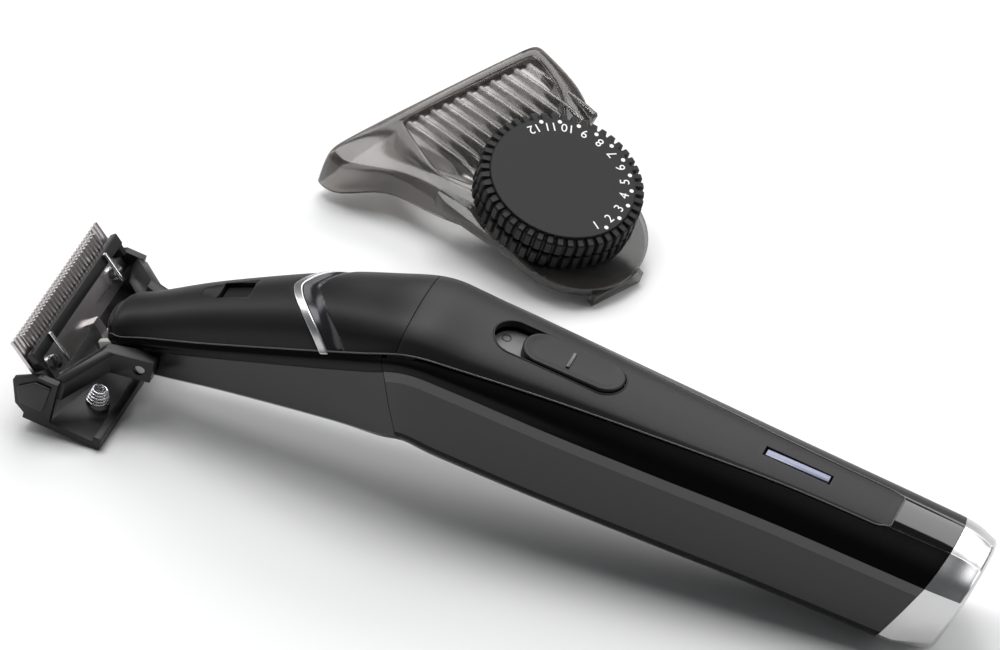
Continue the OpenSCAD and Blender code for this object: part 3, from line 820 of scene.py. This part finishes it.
panel = sheet((plane_line(-1, 0, 0), panel_limit()), (-SEAM + 0.02, SEAM - 0.02), (110, 48))
solidify(panel, 1.4)
apply_all(panel)
slot_tool = disc_piece(SLOT_W / 2, 14, (SLOT_X, 0, 6), stretch=(SLOT_LEN - SLOT_W) / 2)
cut(panel, slot_tool)
light_tool = box_piece((LIGHT_LEN + 0.3, LIGHT_W + 0.3, 14), (LIGHT_X, 0, 11))
cut(panel, light_tool)
bevel(panel, 0.25, 3, 50)
apply_all(panel)
hand_over(panel, "front_panel_skin", "handle", graphite, 24, ["front_panel"])
print("front panel has", len(panel.data.polygons), "faces")

# %% [markdown]
# ## Neck cover
# The neck cover runs from the round tip to the silver V. It is a grid over the skin with its wall
# added, and the latch's pocket and its hollowed run-in are cut out of its crown.
# %% Neck cover
rows = 60
cover = lay_grid((-1.0, chevron(TRIM_AT, GAP)), (-SEAM + 0.02, SEAM - 0.02), (80, rows), tip_mm)
face_out(cover, lay(-27, 0, -8))
solidify(cover, 1.4)
apply_all(cover)


def in_neck(x, y, z):
    """A point of the neck's own frame, whose x runs back from the tip to the bend."""
    return lay(x * neck_cos - z * neck_sin, y, x * neck_sin + z * neck_cos + SEAM_Z)


LATCH_AT = 37.0
pocket = box_piece((6.4, 4.6, 9), (-LATCH_AT, 0, 5.5), in_neck)
cut(cover, pocket)
deselect()
bpy.ops.mesh.primitive_cylinder_add(vertices=96, radius=1, depth=1)
groove = bpy.context.object
for vertex in groove.data.vertices:
    x, y, z = vertex.co
    vertex.co = in_neck(-LATCH_AT - 1.5 + z * 11, x * 9, 14.95 + y * 9)
outward(groove)
cut(cover, groove)
bevel(cover, 0.2, 2, 50)
apply_all(cover)
hand_over(cover, "neck_cover_skin", "handle", matte_black, 24, ["neck_cover"])

# %% [markdown]
# ## Silver trim
# The trim is a narrow V-shaped strip of the same skin. It is lifted a little so that it stands
# proud, given its thickness and bevelled to catch a bright line on each edge.
# %% Silver trim
trim = sheet((chevron(TRIM_AT), chevron(TRIM_AT - TRIM_W)), (-SEAM - 0.25, SEAM + 0.25), (6, 64), lift=0.22)
solidify(trim, 1.3)
bevel(trim, 0.22, 3, 50)
apply_all(trim)
hand_over(trim, "silver_trim_skin", "handle", satin_silver, 40, ["silver_trim"])

# %% [markdown]
# ## Thumb rest
# Behind the trim a gunmetal band dips and rises into the matte rest for the thumb, which ends at the
# bend. Both are one grid: its height follows a rule, and each face takes one of two finishes.
# %% Thumb rest
BAND_W = 3.6


def thumb_lift(s, v):
    """The band slopes down from the trim and the rest rises again behind it."""
    into = (s - thumb_start(v)) / max(1e-6, thumb_band(v) - thumb_start(v))
    return -0.5 * math.sin(min(max(into, 0), 1) * math.pi)


thumb_start = chevron(TRIM_AT - TRIM_W - GAP)
thumb_band = chevron(TRIM_AT - TRIM_W - GAP - BAND_W)
columns, rows = 90, 56
thumb_ends = (thumb_start, plane_line(-1.14, 0, 0))
thumb = sheet(thumb_ends, (-SEAM + 0.02, SEAM - 0.02), (columns, rows), lift=thumb_lift)
thumb.data.materials.append(thumb_black)
thumb.data.materials.append(gunmetal)
for index, polygon in enumerate(thumb.data.polygons):
    v = -SEAM + 2 * SEAM * (index // columns + 0.5) / rows
    start, end = thumb_start(v), plane_line(-1.14, 0, 0)(v)
    here = start + (end - start) * (index % columns + 0.5) / columns
    polygon.material_index = 1 if here < thumb_band(v) else 0
solidify(thumb, 1.3)
bevel(thumb, 0.15, 2, 60)
apply_all(thumb)
hand_over(thumb, "thumb_rest_skin", "handle", thumb_black, 20, ["thumb_inlay"])
print("neck cover, trim and thumb rest made")

# %% [markdown]
# ## End cap
# The silver cap continues the skin past the slanted joint and turns over into a flat end face. The
# last rows of the grid bend inwards like a quarter of a circle, the open ring left in the middle is
# filled, and the charging inlet's hole is cut through the face.
# %% End cap
END_ROUND = 1.5


def end_mm(s, v):
    """The skin carried past its last station and turned over into the end face."""
    if s <= LAST:
        return skin_mm(s, v)
    bend = min(s - LAST, 1.0) * math.pi / 2
    lean = math.radians(END_SLANT)
    x, y, z = skin_mm(LAST, v)
    mid_x, mid_z = STATIONS[-1][0] + 8 * -math.sin(lean), STATIONS[-1][1] - 8 * math.cos(lean)
    inwards = END_ROUND * (1 - math.cos(bend)) / 9
    out = END_ROUND * 0.7 * math.sin(bend)
    return (mid_x + (x - mid_x) * (1 - inwards) + out * math.cos(lean), y * (1 - inwards),
            mid_z + (z - mid_z) * (1 - inwards) - out * math.sin(lean))


cap = lay_grid((plane_line(*CAP_LINE), LAST + 1.0), (-BACK, BACK), (26, 160), end_mm)
outward(cap)
solidify(cap, 1.2)
apply_all(cap)
deselect()
bpy.ops.mesh.primitive_circle_add(vertices=160, radius=1, fill_type="NGON")
face = bpy.context.object
for index, vertex in enumerate(face.data.vertices):
    vertex.co = lay(*end_mm(LAST + 1.0, -BACK + 2 * BACK * index / 160))
face_out(face, lay(90, 0, 0))
solidify(face, 1.2)
apply_all(face)
face.select_set(True)
cap.select_set(True)
bpy.context.view_layer.objects.active = cap
bpy.ops.object.join()
bevel(cap, 0.25, 2, 55)
apply_all(cap)
inlet = disc_piece(3.2, 14, (0, 0, 0), lambda x, y, z: lay(101 + z, y, x), 64)
cut(cap, inlet)
hand_over(cap, "end_cap_skin", "handle", satin_silver, 30, ["end_cap"])
print("end cap has", len(cap.data.polygons), "faces")

# %% [markdown]
# ## Seam lips
# Where two mouldings meet there is a fine raised lip. The lip along the seam is painted a lighter grey,
# a painted highlight, and the lip round the switch slot is matte black. Each is a thin round wire along
# the seam: down both sides from the neck's tip, round the panel's end, and round the switch slot.
# %% Seam lips
limit = panel_limit(0.05)
seam_path = [lay(*tip_mm(-0.2 + (limit(SEAM) + 0.2) * k / 220, SEAM)) for k in range(221)]
seam_path += [lay(*skin_mm(limit(v), v)) for v in [SEAM - 0.05 * k for k in range(1, 120)]]
seam_path += [lay(*tip_mm(-0.2 + (limit(SEAM) + 0.2) * (220 - k) / 220, -SEAM)) for k in range(221)]
seam_lip = rod("seam_lip", seam_path, 0.16, 12)
# The seam lip's lighter grey is a painted highlight.
hand_over(seam_lip, "seam_lip", "handle", grey_painted_highlight, 60)


def slot_point(turn):
    """A point on the slot's rim: turn goes once round from 0 to 1."""
    angle = turn * 2 * math.pi
    half = (SLOT_LEN - SLOT_W) / 2
    x = (half if math.cos(angle) >= 0 else -half) + math.cos(angle) * (SLOT_W / 2 + 0.05)
    return SLOT_X + x, math.sin(angle) * (SLOT_W / 2 + 0.05)


rim = [lay(x, y, crown_z(x, y) - 0.05) for x, y in (slot_point(k / 120) for k in range(120))]
slot_lip = rod("slot_lip", rim, 0.2, 12, closed=True)
hand_over(slot_lip, "slot_lip", "handle", matte_black, 60)
print("seam and slot lips made")

# %% [markdown]
# ## Switch
# The slider is a stretched cylinder with a round edge and a shallow thumb dish, and a raised bar
# marks its middle. It rides the switch's own body. A pale plate with the off and on marks shows in
# the slot's free end.
# %% Switch slider
PLATE_Z = 11.2
SLIDER_LEN = SLOT_LEN - 5.4 - 0.6
SLIDER_W = SLOT_W - 0.6
SLIDER_X = SLOT_X + (SLOT_LEN - SLIDER_LEN) / 2 - 0.3
SLIDER_TOP = 14.75
slider = disc_piece(SLIDER_W / 2, SLIDER_TOP - PLATE_Z - 0.95, (SLIDER_X, 0, PLATE_Z + 0.95),
                    stretch=(SLIDER_LEN - SLIDER_W) / 2, sides=96)
deselect()
slider.select_set(True)
bpy.context.view_layer.objects.active = slider
bpy.ops.object.mode_set(mode="EDIT")
bpy.ops.mesh.select_all(action="DESELECT")
bpy.ops.object.mode_set(mode="OBJECT")
for polygon in slider.data.polygons:
    polygon.select = polygon.normal.dot(front) > 0.9
bpy.ops.object.mode_set(mode="EDIT")
bpy.ops.mesh.inset(thickness=0.55 * MM, depth=0.0)
bpy.ops.mesh.inset(thickness=0.5 * MM, depth=-0.14 * MM)
bpy.ops.mesh.inset(thickness=0.9 * MM, depth=-0.1 * MM)
bpy.ops.object.mode_set(mode="OBJECT")
bevel(slider, 0.35, 4, 50)
apply_all(slider)
hand_over(slider, "switch_slider_cap", "switch", graphite, 40, ["switch_slider"])
# The marker bar's lighter grey is partly its own dark grey and partly a painted highlight.
marker = box_piece((0.75, 4.2, 0.5), (SLIDER_X - 0.6, 0, SLIDER_TOP - 0.14))
bevel(marker, 0.18, 3)
apply_all(marker)
hand_over(marker, "switch_marker", "switch", grey_painted_highlight, 40)

plate = disc_piece(SLOT_W / 2 - 0.05, 0.8, (SLOT_X, 0, PLATE_Z), stretch=(SLOT_LEN - SLOT_W) / 2)
hand_over(plate, "switch_label_plate", "handle", label_grey, 40, ["switch_plate"])


# %% [markdown]
# ## Printed marks
# The off and on marks, a ring and a bar, are printed on the plate. A text object is the simplest way
# to make them. It is turned into a mesh before it is set down, so that its place is in the mesh.
# %% Printed marks
def mark(words, size, place, name, body, paint, depth=0.03):
    """Flat lettering made mesh. place turns a point of the letter's own plane into the frame."""
    deselect()
    bpy.ops.object.text_add(location=(0, 0, 0))
    words_object = bpy.context.object
    words_object.data.body = words
    words_object.data.size = size
    words_object.data.align_x = "CENTER"
    words_object.data.align_y = "CENTER"
    words_object.data.extrude = depth
    words_object.data.resolution_u = 4
    bpy.ops.object.convert(target="MESH")
    piece = bpy.context.object
    for vertex in piece.data.vertices:
        vertex.co = place(*vertex.co)
    outward(piece)
    return hand_over(piece, name, body, paint, 40)


SLOT_MARK_X = SLOT_X - SLOT_LEN / 2 + 2.3
mark("O", 2.6, lambda x, y, z: lay(SLOT_MARK_X - y, x + 1.4, PLATE_Z + 0.83 + z), "mark_off",
     "handle", print_dark)
mark("I", 2.6, lambda x, y, z: lay(SLOT_MARK_X - y, x - 1.6, PLATE_Z + 0.83 + z), "mark_on",
     "handle", print_dark)
print("slider, plate and marks made")

# %% [markdown]
# ## Charge light
# The light is a frosted lens in a narrow window, a little below the panel, with a dark bed round it.
# %% Charge light
lens_z = crown_z(LIGHT_X, 0.8) - 0.12
lens = box_piece((LIGHT_LEN - 0.6, LIGHT_W - 0.55, 2.4), (LIGHT_X, 0.12, lens_z - 1.2))
bevel(lens, 0.15, 2)
apply_all(lens)
hand_over(lens, "charge_light_lens", "handle", light_lens, 40, ["charge_light"])
light_bed = box_piece((LIGHT_LEN + 0.28, LIGHT_W + 0.28, 0.6), (LIGHT_X, 0, lens_z - 2.1))
hand_over(light_bed, "charge_light_bed", "handle", recess_black, 40)
print("charge light made")

# %% [markdown]
# ## Dial
# The dial is a knurled wheel of two tiers with a narrower waist between them. It could be a cylinder
# with hundreds of insets. Here rings of computed points are stacked instead, one for each change of
# its outline, and the rings marked as toothed step inwards at every gap between two ribs.
# %% Dial wheel
TEETH = 48
RINGS = [(13.95, 0.0, 0), (14.1, -0.12, 0), (14.15, -0.5, 0), (14.5, -0.5, 0.6), (15.65, -0.55, 1),
         (15.95, -0.85, 1), (16.0, -3.3, 1), (15.75, -3.6, 1), (15.1, -3.7, 0), (15.1, -4.2, 0),
         (15.75, -4.3, 1), (16.0, -4.6, 1), (16.0, -7.2, 1), (15.7, -7.6, 1), (14.6, -7.7, 0)]
sides = TEETH * 8
verts, faces = [], []
for radius, height, toothed in RINGS:
    for k in range(sides):
        gap_here = toothed if k % 8 in (0, 1, 2) else 0
        angle = 2 * math.pi * (k + 0.3 * (k % 8 == 0) - 0.3 * (k % 8 == 2)) / sides
        inner = radius - 0.7 * gap_here
        drop = 0.5 * gap_here if height > -0.9 else 0
        verts.append((inner * math.cos(angle), inner * math.sin(angle), height - drop))
for ring in range(len(RINGS) - 1):
    for k in range(sides):
        a, b = ring * sides + k, ring * sides + (k + 1) % sides
        faces.append((a, a + sides, b + sides, b))
faces.append(tuple(range(sides)))
faces.append(tuple((len(RINGS) - 1) * sides + k for k in reversed(range(sides))))
dial_mesh = bpy.data.meshes.new("dial_wheel_skin")
dial_mesh.from_pydata([lay_comb(*v) for v in verts], [], faces)
dial = bpy.data.objects.new("dial_wheel_skin", dial_mesh)
bpy.context.scene.collection.objects.link(dial)
outward(dial)
hand_over(dial, "dial_wheel_skin", "dial", dial_black, 32, ["dial_wheel"])

# %% [markdown]
# ## Dial numbers
# Numbers from 1 to 12 run round the face with a dot between each pair. Each is made flat once and
# carried to its own angle, so all of them stay level with the face.
# %% Dial numbers
for number in range(1, 13):
    turn_to = math.radians(-7 + 16 * (number - 1))
    cosine, sine = math.cos(turn_to), math.sin(turn_to)

    def on_face(x, y, z, cosine=cosine, sine=sine, radius=12.1):
        along_r, across_r = radius - y, x
        return lay_comb(along_r * cosine - across_r * sine, along_r * sine + across_r * cosine, z + 0.01)

    mark(str(number), 2.7, on_face, "dial_number_%02d" % number, "dial", print_white, 0.02)
    dot_turn = turn_to + math.radians(7)
    if number < 12:
        dot_place = (13.3 * math.cos(dot_turn), 13.3 * math.sin(dot_turn), -0.01)
        dot = disc_piece(0.42, 0.04, dot_place, lay_comb, 16)
        hand_over(dot, "dial_dot_%02d" % number, "dial", print_white, 40)
print("dial has", TEETH, "ribs and 12 numbers")

# %% [markdown]
# ## Parts that keep their CAD shape
# The head's frame and arms, the side pads, the blade carrier and the drive lever have the right shape
# already and only lack the small rounds that catch the light. `soften` copies the CAD mesh, merges
# its points, dissolves the flat joints and bevels it.


# %% Soften
def soften(node, name, body, paint, width=0.2, segments=2, angle=32):
    source = frame["nodes"][node]
    piece = bpy.data.objects.new(name, source.data.copy())
    bpy.context.scene.collection.objects.link(piece)
    piece.data.transform(source.matrix_world)
    piece.data.materials.clear()
    deselect()
    piece.select_set(True)
    bpy.context.view_layer.objects.active = piece
    bpy.ops.object.mode_set(mode="EDIT")
    bpy.ops.mesh.select_all(action="SELECT")
    bpy.ops.mesh.remove_doubles(threshold=0.00001)
    bpy.ops.mesh.dissolve_limited(angle_limit=math.radians(1.5))
    bpy.ops.object.mode_set(mode="OBJECT")
    bevel(piece, width, segments, angle)
    apply_all(piece)
    return hand_over(piece, name, body, paint, 40, [node])


soften("head_frame", "head_frame_skin", "head", dark_grey, 0.45, 3)
soften("head_arm_left", "head_arm_left_skin", "head", dark_grey, 0.5, 3)
soften("head_arm_right", "head_arm_right_skin", "head", dark_grey, 0.5, 3)
soften("side_pads", "side_pads_skin", "head", pad_grey, 0.25, 3)
soften("blade_carrier", "blade_carrier_skin", "head", dark_grey, 0.25, 3)
soften("drive_lever", "drive_lever_skin", "lever", lever_grey, 0.2, 2)
print("softened pieces made")

# %% [markdown]
# ## Comb
# The comb's housing is a smoked frame round a window of ribs. Its top is a strip between an outer
# and an inner outline, which slopes down from the dial to the front beam and flares into an ear on
# the near side. The strip's two edges are pulled down into walls, the sheet gets its thickness, and
# a bevel and a subdivision round it off.


# %% Comb housing
def loft(name, rings):
    """A sheet through a list of rings that all have the same number of points."""
    count = len(rings[0])
    points = [lay_comb(*point) for ring in rings for point in ring]
    quads = [(r * count + k, r * count + k + 1, (r + 1) * count + k + 1, (r + 1) * count + k)
             for r in range(len(rings) - 1) for k in range(count - 1)]
    sheet_mesh = bpy.data.meshes.new(name)
    sheet_mesh.from_pydata(points, [], quads)
    piece = bpy.data.objects.new(name, sheet_mesh)
    bpy.context.scene.collection.objects.link(piece)
    return piece


def subdivide(piece, levels):
    modifier = piece.modifiers.new("smooth", "SUBSURF")
    modifier.levels = levels
    modifier.render_levels = levels


OUTER = [(-2.5, -13.0, -9.4), (-14, -18.4, -11.4), (-24, -19, -13.6), (-29, -26.2, -15.6),
         (-34, -26.7, -15.8), (-35.3, -26.0, -15.8), (-35.4, -22, -15.4), (-35.4, -9.4, -14.8),
         (-35.4, 10, -14.4), (-35.4, 23, -14.4), (-35.2, 26.6, -14.6), (-33, 26.8, -14.4),
         (-26, 26.6, -13.2), (-17, 25.2, -11.6), (-3, 14.2, -9.4)]
INNER = [(-9.0, -10.1, -8.7), (-14, -13.2, -9.4), (-18, -13.8, -10.4), (-28, -11.0, -12.8),
         (-31, -10.2, -13.4), (-32.2, -9.6, -13.7), (-32.5, -9.2, -13.8), (-32.6, -7, -13.8),
         (-32.6, 10, -13.8), (-32.6, 21, -13.8), (-32.4, 22.8, -13.8), (-31, 23, -13.5),
         (-26, 22.2, -12.4), (-18.3, 19.2, -10.4), (-10.5, 11.5, -8.8)]
DROPS = [3.2, 4.2, 5.2, 7.8, 8.6, 8.8, 8.4, 5.8, 5.2, 5.6, 7.8, 7.8, 7.0, 5.2, 3.2]
ridge = [tuple(0.3 * o + 0.7 * i + (0.25 if axis == 2 else 0) for axis, (o, i) in enumerate(zip(a, b)))
         for a, b in zip(OUTER, INNER)]
near_edge = [tuple(0.9 * o + 0.1 * i for o, i in zip(a, b)) for a, b in zip(OUTER, INNER)]
wall_top = [(x, y, z - 0.9) for x, y, z in OUTER]
wall_low = [(x + 0.4, y * 1.012, z - drop) for (x, y, z), drop in zip(OUTER, DROPS)]
window_top = [(x, y, z - 0.7) for x, y, z in INNER]
window_low = [(x, y, z - 3.0) for x, y, z in INNER]
housing = loft("comb_housing", [wall_low, wall_top, near_edge, ridge, INNER, window_top, window_low])
face_out(housing, lay_comb(-20, -15, -30))
subdivide(housing, 2)
solidify(housing, 1.0)
bevel(housing, 0.2, 2, 50)
apply_all(housing)
outward(housing)
hand_over(housing, "comb_housing", "comb_slider", smoke, 50, ["comb_guide"])

# %% [markdown]
# ## Comb ribs
# Eleven thin clear ribs guide the hair towards the blade. All share one profile, which is set down
# at an even pitch, and each has a mesh of its own.
# %% Comb ribs
RIB_PITCH = 3.0
for index in range(11):
    y = 7 + (index - 5) * RIB_PITCH
    profile = [(-33.6, -17.0), (-33.0, -15.6), (-26, -13.0), (-19, -10.6), (-13.5, -9.3), (-13.0, -9.9),
               (-13.4, -13.0), (-20, -17.6), (-27, -22.5), (-31.5, -24.6), (-33.2, -24.2), (-33.9, -21.0)]
    rib_mesh = bpy.data.meshes.new("comb_rib")
    rib = bpy.data.objects.new("comb_rib", rib_mesh)
    bpy.context.scene.collection.objects.link(rib)
    count = len(profile)
    ring = [lay_comb(x, y + side * 0.5, z) for side in (-1, 1) for x, z in profile]
    sides_of_rib = [(k, (k + 1) % count, count + (k + 1) % count, count + k) for k in range(count)]
    ends_of_rib = [tuple(range(count)), tuple(count + k for k in range(count))]
    rib_mesh.from_pydata(ring, [], sides_of_rib + ends_of_rib)
    outward(rib)
    bevel(rib, 0.22, 2, 30)
    apply_all(rib)
    hand_over(rib, "comb_rib_%02d" % (index + 1), "comb_slider", smoke_rib, 40)
print("comb housing and 11 ribs made")

# %% [markdown]
# ## Comb clip
# The clip is the smoked cup under the dial that snaps over the handle. Its outline is an open curve
# stretched towards the back, and rings of that outline, each a little smaller and lower, are joined
# into a sheet that gets its thickness. The comb's base is the CAD piece with softened edges.
# %% Comb clip
clip_path = []
for k in range(41):
    angle = math.radians(-150 + 300 * k / 40)
    reach = math.cos(angle)
    clip_x = 6.5 + 14.2 * reach if reach > 0 else 6.5 * (1 + reach)
    clip_path.append((clip_x, 13.6 * math.sin(angle)))
clip_rings = []
for inset, height in ((0.0, 0), (0.3, 1), (0.9, 1.6)):
    ring_z = -8.4 if height == 0 else -9.2 - height * 1.1
    clip_rings.append([(x * (1 - inset / 20), y * (1 - inset / 16), ring_z) for x, y in clip_path])
clip_rings.append([(x * 0.5 + 3, y * 0.5, -11.0) for x, y in clip_path])
clip = loft("comb_clip", clip_rings)
face_out(clip, lay_comb(5, 0, 0))
solidify(clip, 0.9)
bevel(clip, 0.2, 2, 50)
apply_all(clip)
outward(clip)
hand_over(clip, "comb_clip", "comb", smoke, 50)
soften("comb_base", "comb_base_skin", "comb", smoke, 0.25, 2)
print("comb clip made")

# %% [markdown]
# ## Coil springs
# Two conical coils stand on the head's floor and press the frame back to its middle. Each is a round
# wire along a helix that narrows towards its top.
# %% Coil springs
FLOOR_Z = pivot_z - 10.75
coils = []
for side in (-1, 1):
    turns = [k / 24 for k in range(24 * 5 + 1)]
    helix = []
    for t in turns:
        coil_r, coil_turn = 2.1 - 0.16 * t, 2 * math.pi * t
        helix.append(lay(-53 + coil_r * math.cos(coil_turn), side * 10.6 + coil_r * math.sin(coil_turn),
                         FLOOR_Z + 0.25 + 0.62 * t))
    coils.append(rod("coil", helix, 0.2, 10))
deselect()
for coil in coils:
    coil.select_set(True)
bpy.context.view_layer.objects.active = coils[0]
bpy.ops.object.join()
hand_over(coils[0], "head_coil_springs", "head", bright_wire, 60, ["head_spring"])
print("two coil springs made")

# %% [markdown]
# ## Latch spring
# The small spring stands under the latch button, fixed at its foot. It is the CAD spring with its edges
# softened, on a mesh of its own.
# %% Latch spring
LATCH_SPRING_FOOT = Vector(in_neck(-LATCH_AT, 0, -0.6))
LATCH_SPRING_TOP = Vector(in_neck(-LATCH_AT, 0, 2.1))
latch_coil = soften("latch_spring", "latch_coil", "handle", bright_wire, 0.08, 1)
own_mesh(latch_coil)
print("latch spring made, foot at", LATCH_SPRING_FOOT)

# %% [markdown]
# ## Finishes for the CAD nodes that still show
# Inner parts, blades, screws, wires and the charging inlet are shown as the CAD made them, so each
# takes its finish here.
# %% Finishes on the CAD nodes
NODE_FINISHES = {
    "fixed_blade": ground_steel, "moving_blade": ground_steel, "blade_screws": bright_wire,
    "contour_springs": bright_wire, "head_pivot_pins": dull_silver,
    "latch_button": matte_black, "lever_pin": brass_pin,
    "charging_socket": seal_rubber, "shaft_seal": seal_rubber, "case_screws": dull_silver,
    "battery": cell_sleeve, "battery_contacts": brass_pin, "circuit_board": board_green,
    "switch_contact": brass_pin, "motor_can": dull_silver, "motor_bracket": pad_grey,
    "motor_shaft": dull_silver, "motor_eccentric": pad_grey, "dial_axle": dull_silver,
    "dial_spring": bright_wire,
}
for node, paint in NODE_FINISHES.items():
    mesh = frame["nodes"][node].data
    mesh.materials.clear()
    mesh.materials.append(paint)
print("finished", len(NODE_FINISHES), "CAD nodes")
